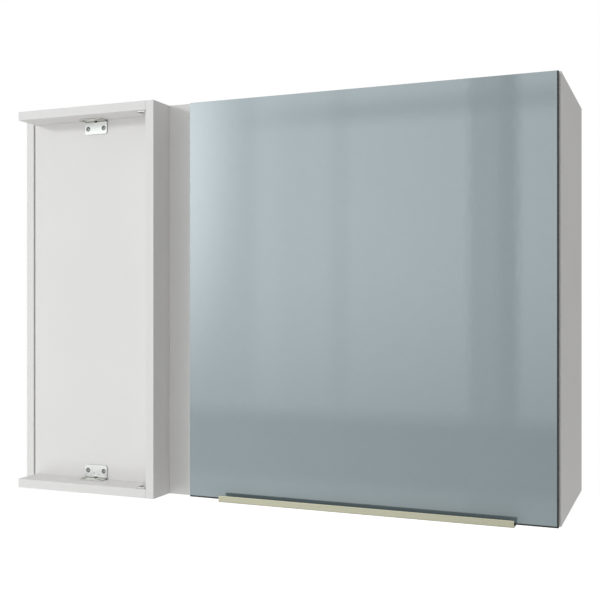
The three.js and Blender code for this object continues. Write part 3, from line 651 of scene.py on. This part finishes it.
# A rod that bores into the door's back.
def doorCutter(place, radius, depth, sides):
    back = Vector((0, mm, 0))
    return rodShape(place - back * depth, place + back, radius * mm, sides)


def doorCutters():
    cutters = []
    for _, place in cupPlaces():
        cutters.append(doorCutter(place, door["cupRadius"], door["cupDepth"], door["cupSides"]))
        for side in (-1, 1):
            ear = place + Vector((-door["earOffset"], 0, side * door["earSpacing"] / 2)) * mm
            cutters.append(doorCutter(ear, door["earHole"], door["earHoleDepth"], door["earHoleSides"]))
    return cutters


# The round of one of the front's edges, from the edge's middle.
def frontRound(middle):
    if middle.z < doorLow.z + near:
        return door["lowerRound"]
    return door["rightRound"] if middle.x > doorHigh.x - near else door["lacquerRound"]


# The door's panel with its front's edges rounded, each by its share of the widest round.
def doorBlock():
    built = boxShape(doorLow, doorHigh)
    weight = built.edges.layers.float.new("bevel_weight_edge")
    for edge in built.edges:
        middle = (edge.verts[0].co + edge.verts[1].co) / 2
        if middle.y < doorLow.y + near:
            edge[weight] = frontRound(middle) / door["lowerRound"]
    piece = toObject("doorBlock", built)
    rounding = piece.modifiers.new("rounding", "BEVEL")
    rounding.limit_method = "WEIGHT"
    rounding.width = door["lowerRound"] * mm
    rounding.segments = door["roundSteps"]
    return toShape(piece)


# 0 is the lacquered front, 1 the white back, 2 a bore's inside and 3 the black band. The rounds at the
# front's left and top are lacquered, and those at its right and below get the band's black as painted shade.
def doorFinishWithPaintedShade(face):
    side = sideOf(face, doorLow, doorHigh)
    if side in ("front", "back"):
        return 0 if side == "front" else 1
    if side:
        return 3
    middle, rim = face.calc_center_median(), door["rim"] * mm
    if all(doorLow[axis] + rim < middle[axis] < doorHigh[axis] - rim for axis in (0, 2)):
        return 2
    # Rounds at the right and below: painted shade in the band's black.
    return 0 if face.normal.x < 0.1 and face.normal.z > -0.1 else 3


def makeDoor():
    built = combined(doorBlock(), "DIFFERENCE", *doorCutters())
    for face in built.faces:
        face.material_index = doorFinishWithPaintedShade(face)
    addPiece("doorFront", built, "door", [doorLacquer, melamineWhite, fibreboard, bandBlackAndPaintedShade],
             "door_panel", door["otherEdge"], 3)


makeDoor()
dressNode("handle_profile", "door", handleMetal, handleEdge)
print("door and handle made")

# Angle brackets.

bracket = {
    "sheet": 1.8,
    "bend": 2.6,  # outer radius
    "corner": 4.0,
    "ribHalf": 3.0,
    "ribFlat": 0.6,  # half of the rib's flat crown
    "ribReach": 4.6,
    "screwSpacing": 32.0,
    "screwFromBend": 14.0,
    "holeRadius": 2.1,
    "headRadius": 4.3,
    "headDepth": 1.7,
    "holeSides": 36,
    "shadeReach": 3.2,  # how far from the outer corner the painted shade reaches
    "shadeHole": 0.85,  # and how far from a hole's axis, as a share of headRadius
    "crease": 32,  # degrees; the rib's slopes turn by less
}
# Into how many strips the sheet is divided for its shape.
bracketSteps = {"leg": 12, "bend": 8, "rib": 8, "side": 6, "cornerDegrees": 15}


# The bracket's outer line, from the end of its upright leg round the bend to the end of the level
# one, as (distance from the nearer end, y, z, way in).
def bracketLine(tall, deep):
    bend, corner = bracket["bend"], bracket["corner"]
    steps, bends = bracketSteps["leg"], bracketSteps["bend"]
    ends = [corner * (1 - math.cos(math.radians(a))) for a in range(0, 91, bracketSteps["cornerDegrees"])]
    shares = [step / steps for step in range(1, steps + 1)]
    upright, level = (ends + [corner + (length - corner - bend) * share for share in shares]
                      for length in (tall, deep))
    line = [(away, 0.0, away - tall, Vector((0, -1, 0))) for away in upright]
    for step in range(1, bends):
        a = math.radians(90 * step / bends)
        way = Vector((0, -math.cos(a), -math.sin(a)))
        line.append((tall, bend * (math.cos(a) - 1), bend * (math.sin(a) - 1), way))
    line += [(away, away - deep, 0.0, Vector((0, 0, -1))) for away in reversed(level)]
    return line


# How far in a point of the bend is pressed, to make the stiffening rib.
def ribDepth(x, y, z):
    reach = bracket["ribReach"]
    along = max(0.0, reach - abs(y) - abs(z)) / math.sqrt(2)
    slope = (bracket["ribHalf"] - abs(x)) / (bracket["ribHalf"] - bracket["ribFlat"])
    across = min(1.0, max(0.0, slope))
    return along * across * across * (3 - 2 * across)


# The places across the bracket where its sheet is divided: close over the rib and wide beside it.
def bracketStations(half):
    rib, ribs, sides = bracket["ribHalf"], bracketSteps["rib"], bracketSteps["side"]
    inner = [rib * step / ribs for step in range(-ribs, ribs + 1)]
    spread = [rib + (half - rib) * step / sides for step in range(1, sides + 1)]
    return [-x for x in reversed(spread)] + inner + spread


def bracketSheet(width, tall, deep):
    built = bmesh.new()
    half, corner = width / 2, bracket["corner"]
    inward = Vector((0, -1, -1)).normalized()
    rows = []
    for away, y, z, way in bracketLine(tall, deep):
        over = max(0.0, corner - away)
        limit = half - corner + math.sqrt(corner ** 2 - over ** 2)
        row = []
        for station in bracketStations(half):
            x = station * limit / half if abs(station) > bracket["ribHalf"] else station
            outer = Vector((x, y, z)) + inward * ribDepth(x, y, z)
            row.append((built.verts.new(outer * mm), built.verts.new((outer + way * bracket["sheet"]) * mm)))
        rows.append(row)
    for low, high in zip(rows, rows[1:]):
        for a, b, c, d in zip(low, low[1:], high[1:], high):
            built.faces.new((a[0], b[0], c[0], d[0]))
            built.faces.new((d[1], c[1], b[1], a[1]))
    rims = [rows[0], rows[-1][::-1], [row[0] for row in reversed(rows)], [row[-1] for row in rows]]
    for rim in rims:
        for a, b in zip(rim, rim[1:]):
            built.faces.new((b[0], a[0], a[1], b[1]))
    bmesh.ops.recalc_face_normals(built, faces=built.faces)
    return built


# Cuts a countersunk hole; it begins just above the sheet's inner face and ends well behind it.
def countersunkCutter(place, way):
    place, way = place * mm, way * mm
    hole, sides = bracket["holeRadius"] * mm, bracket["holeSides"]
    head = rodShape(place - way * 0.1, place + way * bracket["headDepth"], bracket["headRadius"] * mm, sides,
                    hole)
    return combined(head, "UNION", rodShape(place - way, place + way * 5, hole, sides))


# Where the screws go through, as (place on the inner face, way to the wall or the board).
def bracketHoles():
    sheet, down = bracket["sheet"], bracket["screwFromBend"]
    for x in (-bracket["screwSpacing"] / 2, bracket["screwSpacing"] / 2):
        yield Vector((x, -sheet, -down)), Vector((0, 1, 0))
        yield Vector((x, -down, -sheet)), Vector((0, 0, 1))


# True where the bracket gets painted shade: in the bend, the rib and the countersinks.
def inPaintedShade(face):
    place = face.calc_center_median() / mm
    reach = bracket["ribReach"] if abs(place.x) < bracket["ribHalf"] else bracket["shadeReach"]
    if max(-place.y, -place.z) < reach:
        return True
    limit = bracket["shadeHole"] * bracket["headRadius"]
    return any((place - hole).cross(way).length < limit for hole, way in bracketHoles())


def bracketShape(width, tall, deep):
    cutters = [countersunkCutter(place, way) for place, way in bracketHoles()]
    built = combined(bracketSheet(width, tall, deep), "DIFFERENCE", *cutters)
    for face in built.faces:
        face.material_index = 1 if inPaintedShade(face) else 0
    return built


# For each bracket: the ways of its width, of its upright leg's wall and of its level leg's board.
bracketWays = {
    "upper_middle": ((1, 0, 0), (0, 1, 0), (0, 0, 1)),
    "lower_middle": ((-1, 0, 0), (0, 1, 0), (0, 0, -1)),
    "upper_corner": ((0, -1, 0), (1, 0, 0), (0, 0, 1)),
    "lower_corner": ((0, 1, 0), (1, 0, 0), (0, 0, -1)),
}


# Turns a bracket to its ways and puts its outer corner, at the middle of its width, in its place.
def bracketMatrix(where):
    ways = [Vector(way) for way in bracketWays[where]]
    corner = boxPlace("bracket_" + where, *ways[1:])
    return Matrix.Translation(corner) @ Matrix(ways).transposed().to_4x4()


def makeBrackets():
    for where in bracketWays:
        node = "bracket_" + where
        low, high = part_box(node)
        x, y, tall = (high - low) / mm
        width, deep = (x, y) if where.endswith("middle") else (y, x)
        built = bracketShape(width, tall, deep)
        built.transform(bracketMatrix(where))
        if built.calc_volume(signed=True) < 0:
            bmesh.ops.reverse_faces(built, faces=built.faces)
        addPiece(pieceName(node), built, "cabinet", [zinc, zincPaintedShade], node,
                 crease=bracket["crease"])


makeBrackets()
print("brackets made")

# Screws.

# The sizes of each countersunk cross-head screw, in the labels' order.
screwLabels = ("Head Radius", "Head Depth", "Shank Radius", "Length", "Recess Reach", "Recess Width",
               "Recess Depth")
screwSizes = {
    "bracket": (3.4, 1.9, 1.6, 12.5, 1.9, 1.1, 1.5),
    "handle": (3.5, 1.9, 1.6, 15.5, 2.1, 0.9, 1.5),
    "cup": (3.4, 1.5, 1.7, 9.0, 2.0, 0.9, 1.3),
    "plate": (4.2, 1.6, 2.1, 11.0, 2.3, 1.0, 1.4),
    "adjuster": (3.9, 1.1, 2.3, 5.0, 2.4, 1.0, 0.9),
    "hanger": (3.6, 1.4, 2.2, 2.6, 2.3, 1.0, 1.2),
}
bracketScrewSink = 0.15  # of the heads below the ends of their nodes


# A tree that takes places, sizes in metres and finishes by name, and its inputs as sockets.
def newTree(name, labels):
    tree = bpy.data.node_groups.new(name, "GeometryNodeTree")
    kinds = [("Places", "Geometry"), *((label, "Float") for label in labels), ("Finish", "Material"),
             ("Recess Finish", "Material")]
    for label, kind in kinds:
        tree.interface.new_socket(label, in_out="INPUT", socket_type="NodeSocket" + kind)
    tree.interface.new_socket("Pieces", in_out="OUTPUT", socket_type="NodeSocketGeometry")
    return tree, addNode(tree, "NodeGroupInput").outputs


# Puts one copy of a shape on each place, its Z along the place's aim, and ends the tree.
def repeatAtPlaces(tree, sizes, shape, spin):
    aim = addNode(tree, "GeometryNodeInputNamedAttribute", {"Name": "aim"}, data_type="FLOAT_VECTOR")
    facing = addNode(tree, "FunctionNodeAlignRotationToVector", {"Vector": aim}, axis="Z")
    chance = addNode(tree, "FunctionNodeRandomValue", {"Min": 0.0, "Max": spin, "Seed": 7},
                     data_type="FLOAT")
    turn = next(out for out in chance.outputs if out.type == "VALUE" and out.enabled)
    around = addNode(tree, "ShaderNodeCombineXYZ", {"Z": turn})
    twist = addNode(tree, "FunctionNodeEulerToRotation", {0: around})
    both = addNode(tree, "FunctionNodeRotateRotation", {0: facing, 1: twist}, rotation_space="LOCAL")
    copies = addNode(tree, "GeometryNodeInstanceOnPoints", {"Points": sizes["Places"], "Instance": shape,
                     "Rotation": both})
    whole = addNode(tree, "GeometryNodeRealizeInstances", {"Geometry": copies})
    addNode(tree, "NodeGroupOutput", {"Pieces": whole})


# A countersunk head with a cross recess on a plain shank, made once and repeated. The head narrows to
# four fifths of the shank's radius, and the shank begins two fifths of the head's depth down, so that
# their faces cross cleanly.
def screwTree():
    tree, sizes = newTree("crossHeadScrew", screwLabels)
    neck, start, reach, deep = (
        addNode(tree, "ShaderNodeMath", {0: sizes[label], 1: share}, operation="MULTIPLY")
        for label, share in (("Shank Radius", 0.8), ("Head Depth", 0.4), ("Recess Reach", 2.0),
                             ("Recess Depth", 2.0)))
    rest, ends = (addNode(tree, "ShaderNodeMath", {0: sizes["Length"], 1: start}, operation=way)
                  for way in ("SUBTRACT", "ADD"))
    cone = addNode(tree, "GeometryNodeMeshCone", {"Vertices": 32, "Radius Top": sizes["Head Radius"],
                   "Radius Bottom": neck, "Depth": sizes["Head Depth"]})
    bar = addNode(tree, "GeometryNodeMeshCylinder", {"Vertices": 20, "Radius": sizes["Shank Radius"],
                  "Depth": rest})
    solid = addNode(tree, "GeometryNodeMeshBoolean", {"Self Intersection": True}, operation="UNION",
                    solver="EXACT")
    for mesh, depth, share in ((cone, sizes["Head Depth"], -1.0), (bar, ends, -0.5)):
        down = addNode(tree, "ShaderNodeMath", {0: depth, 1: share}, operation="MULTIPLY")
        way = addNode(tree, "ShaderNodeCombineXYZ", {"Z": down})
        sunk = addNode(tree, "GeometryNodeTransform", {"Geometry": mesh, "Translation": way})
        tree.links.new(sunk.outputs[0], solid.inputs["Mesh 2"])
    coated = addNode(tree, "GeometryNodeSetMaterial", {"Geometry": solid, "Material": sizes["Finish"]})
    cut = addNode(tree, "GeometryNodeMeshBoolean", {"Mesh 1": coated, "Self Intersection": True},
                  operation="DIFFERENCE", solver="EXACT")
    # The cross recess is lined with the recess material, which for most screws is painted shade.
    for long, wide in ((reach, sizes["Recess Width"]), (sizes["Recess Width"], reach)):
        size = addNode(tree, "ShaderNodeCombineXYZ", {"X": long, "Y": wide, "Z": deep})
        arm = addNode(tree, "GeometryNodeMeshCube", {"Size": size})
        lined = addNode(tree, "GeometryNodeSetMaterial", {"Geometry": arm,
                        "Material": sizes["Recess Finish"]})
        tree.links.new(lined.outputs[0], cut.inputs["Mesh 2"])
    repeatAtPlaces(tree, sizes, cut, math.pi / 2)
    return tree


# A round cover cap with a chamfered rim and a pry notch, for the carcass connectors.
def capTree():
    tree, sizes = newTree("coverCap", cap)
    disc = addNode(tree, "GeometryNodeMeshCone", {"Vertices": 48, "Radius Top": sizes["Top Radius"],
                   "Radius Bottom": sizes["Radius"], "Depth": sizes["Thickness"]})
    through = addNode(tree, "ShaderNodeMath", {0: sizes["Thickness"], 1: 3.0}, operation="MULTIPLY")
    size = addNode(tree, "ShaderNodeCombineXYZ", {"X": sizes["Notch"], "Y": sizes["Notch"], "Z": through})
    block = addNode(tree, "GeometryNodeMeshCube", {"Size": size})
    side = addNode(tree, "ShaderNodeCombineXYZ", {"X": sizes["Radius"]})
    notch = addNode(tree, "GeometryNodeTransform", {"Geometry": block, "Translation": side})
    cut = addNode(tree, "GeometryNodeMeshBoolean", {"Mesh 1": disc}, operation="DIFFERENCE", solver="EXACT")
    tree.links.new(notch.outputs[0], cut.inputs["Mesh 2"])
    coated = addNode(tree, "GeometryNodeSetMaterial", {"Geometry": cut, "Material": sizes["Finish"]})
    repeatAtPlaces(tree, sizes, coated, math.pi)
    return tree


# Repeats a tree's shape at places, each a point and the way its face looks, as one plain mesh that
# stands for the nodes.
def addRepeated(name, tree, places, values, finish, body, nodes=(), recess=None):
    mesh = bpy.data.meshes.new(name)
    mesh.from_pydata([place for place, way in places], [], [])
    aim = mesh.attributes.new("aim", "FLOAT_VECTOR", "POINT")
    aim.data.foreach_set("vector", [part for place, way in places for part in way])
    piece = bpy.data.objects.new(name, mesh)
    bpy.context.scene.collection.objects.link(piece)
    making = piece.modifiers.new("repeat", "NODES")
    making.node_group = tree
    inputs = {label: value * mm for label, value in values.items()}
    inputs.update({"Finish": finish, "Recess Finish": recess})
    for socket in tree.interface.items_tree:
        if socket.name in inputs:
            making[socket.identifier] = inputs[socket.name]
    applyModifiers(piece)
    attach(piece, body)
    if nodes:
        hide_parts(*nodes)


# Unless another is given, the recesses are lined with painted shade.
def addScrews(name, kind, places, finish, body, nodes=(), recess=zincPaintedShade):
    sizes = dict(zip(screwLabels, screwSizes[kind]))
    addRepeated(name, crossHead, places, sizes, finish, body, nodes, recess)


# Each bracket has four screws: one and three in its upright leg, two and four in its level leg. Their heads
# are darkened as painted shade, and their recesses keep the brackets' plain zinc.
def makeBracketScrews():
    places, nodes = [], []
    for where, (_, wall, board) in bracketWays.items():
        for number in (1, 2, 3, 4):
            node = f"screw_{where}_{number}"
            way = -Vector(wall if number % 2 else board)
            places.append((boxPlace(node, way) - way * bracketScrewSink * mm, way))
            nodes.append(node)
    addScrews("bracketScrews", "bracket", places, screwZincWithPaintedShade, "cabinet", nodes, zinc)


def makeHandleScrews():
    down = Vector((0, 0, -1))
    nodes = ["handle_screw_1", "handle_screw_2", "handle_screw_3"]
    places = [(boxPlace(node, down), down) for node in nodes]
    addScrews("handleScrews", "handle", places, screwZincWithPaintedShade, "door", nodes)


crossHead = screwTree()
makeBracketScrews()
makeHandleScrews()
print("screws made")

# Hinges.

# For each pressed part of a hinge: its body, its slot and how far its edges are rounded.
hingeParts = {
    "cup": ("door", "hinge_nickel", 0.15),
    "arm": ("cabinet", "hinge_nickel", 0.3),
    "plate": ("cabinet", "zinc_plated", 0.3),
    "link": ("hinge_links", "hinge_nickel", 0.2),
}
hinge = {
    "pinEdge": 0.25,
    "pinSteps": 24,
    "plateScrewSpacing": 32.0,
    "plateScrewSink": 2.05,  # of the screw's head below the plate's highest face
    "adjusters": (16.0, 54.0),  # behind the door's back
}


# A pin with its ends' edges broken.
def makePin(node, body):
    low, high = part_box(node)
    radius, half, edge = (high.x - low.x) / 2, (high.z - low.z) / 2, hinge["pinEdge"] * mm
    profile = [(0, -half), (radius - edge, -half), (radius, edge - half), (radius, half - edge),
               (radius - edge, half), (0, half)]
    built = turnedShape(profile, boxPlace(node), (0, 0, 1), hinge["pinSteps"])
    addPiece(pieceName(node), built, body, [nickel], node)


def makeHinges():
    for where in ("upper", "lower"):
        for part, (body, slot, edge) in hingeParts.items():
            dressNode(f"hinge_{part}_{where}", body, nickel, edge)
        makePin("hinge_arm_pin_" + where, "cabinet")
        makePin("hinge_cup_pin_" + where, "door")


def makeHingeScrews():
    cupScrews, plateScrews, adjusters = [], [], []
    back, into = Vector((0, 1, 0)), Vector((-1, 0, 0))
    for where, place in cupPlaces():
        cupFace = boxPlace("hinge_cup_" + where, back).y
        plate = boxPlace("hinge_plate_" + where, -into)
        armFace = boxPlace("hinge_arm_" + where, into).x
        for side in (-1, 1):
            z = place.z + side * door["earSpacing"] / 2 * mm
            cupScrews.append((Vector((place.x - door["earOffset"] * mm, cupFace, z)), back))
            z = place.z + side * hinge["plateScrewSpacing"] / 2 * mm
            plateScrews.append((Vector((plate.x - hinge["plateScrewSink"] * mm, plate.y, z)), into))
        for behind in hinge["adjusters"]:
            adjusters.append((Vector((armFace, doorHigh.y + behind * mm, place.z)), into))
    addScrews("hingeCupScrews", "cup", cupScrews, nickel, "door")
    addScrews("hingePlateScrews", "plate", plateScrews, nickel, "cabinet")
    addScrews("hingeAdjusters", "adjuster", adjusters, nickel, "cabinet")


makeHinges()
makeHingeScrews()
print("hinges made")

# Hangers, shelf pins, bumpers and caps.

hanger = {"caseEdge": 0.4, "hookEdge": 0.3, "screwFromMiddle": 14.5, "screwSink": 1.2}
shelfPinEdge = 0.2
bumper = {"degrees": 6, "steps": 32, "crease": 60}
cap = {"Radius": 8.0, "Top Radius": 7.6, "Thickness": 0.9, "Notch": 1.4}
capPlaces = {"fromSide": 34.0, "fromFront": 50.0, "fromBack": 60.0, "lift": 0.02}


def makeHangers():
    places = []
    front = Vector((0, -1, 0))
    for side in ("left", "right"):
        case = "hanger_case_" + side
        dressNode(case, "cabinet", nylon, hanger["caseEdge"])
        dressNode("hanger_hook_" + side, "cabinet", zinc, hanger["hookEdge"])
        for up in (-1, 1):
            shift = Vector((0, hanger["screwSink"], up * hanger["screwFromMiddle"])) * mm
            places.append((boxPlace(case, front) + shift, front))
    addScrews("hangerScrews", "hanger", places, zinc, "cabinet")


def makeShelfPins():
    for row in ("front", "back"):
        for side in ("left", "right"):
            dressNode(f"shelf_pin_{row}_{side}", "cabinet", zinc, shelfPinEdge)


# A bumper is a drop: flat where it sticks and domed to the door.
def makeBumpers():
    for where in ("upper", "lower"):
        node = "door_bumper_" + where
        low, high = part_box(node)
        radius, height = (high.x - low.x) / 2, high.y - low.y
        turns = [math.radians(a) for a in range(0, 90, bumper["degrees"])]
        profile = [(0, 0)] + [(radius * math.cos(a), height * math.sin(a)) for a in turns] + [(0, height)]
        built = turnedShape(profile, boxPlace(node, (0, 1, 0)), (0, -1, 0), bumper["steps"])
        addPiece(pieceName(node), built, "cabinet", [silicone], node, crease=bumper["crease"])


# Caps cover the connectors that pull the top and bottom boards to the sides.
def makeCaps():
    places = []
    left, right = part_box("left_side")[1].x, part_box("right_side")[0].x
    for node, up in {"top_panel": -1, "bottom_panel": 1}.items():
        low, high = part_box(node)
        z = boxPlace(node, (0, 0, up)).z + up * capPlaces["lift"] * mm
        for x in (left + capPlaces["fromSide"] * mm, right - capPlaces["fromSide"] * mm):
            for y in (low.y + capPlaces["fromFront"] * mm, high.y - capPlaces["fromBack"] * mm):
                places.append((Vector((x, y, z)), Vector((0, 0, up))))
    addRepeated("connectorCaps", capTree(), places, cap, pvc, "cabinet")


makeHangers()
makeShelfPins()
makeBumpers()
makeCaps()
print("small parts made")
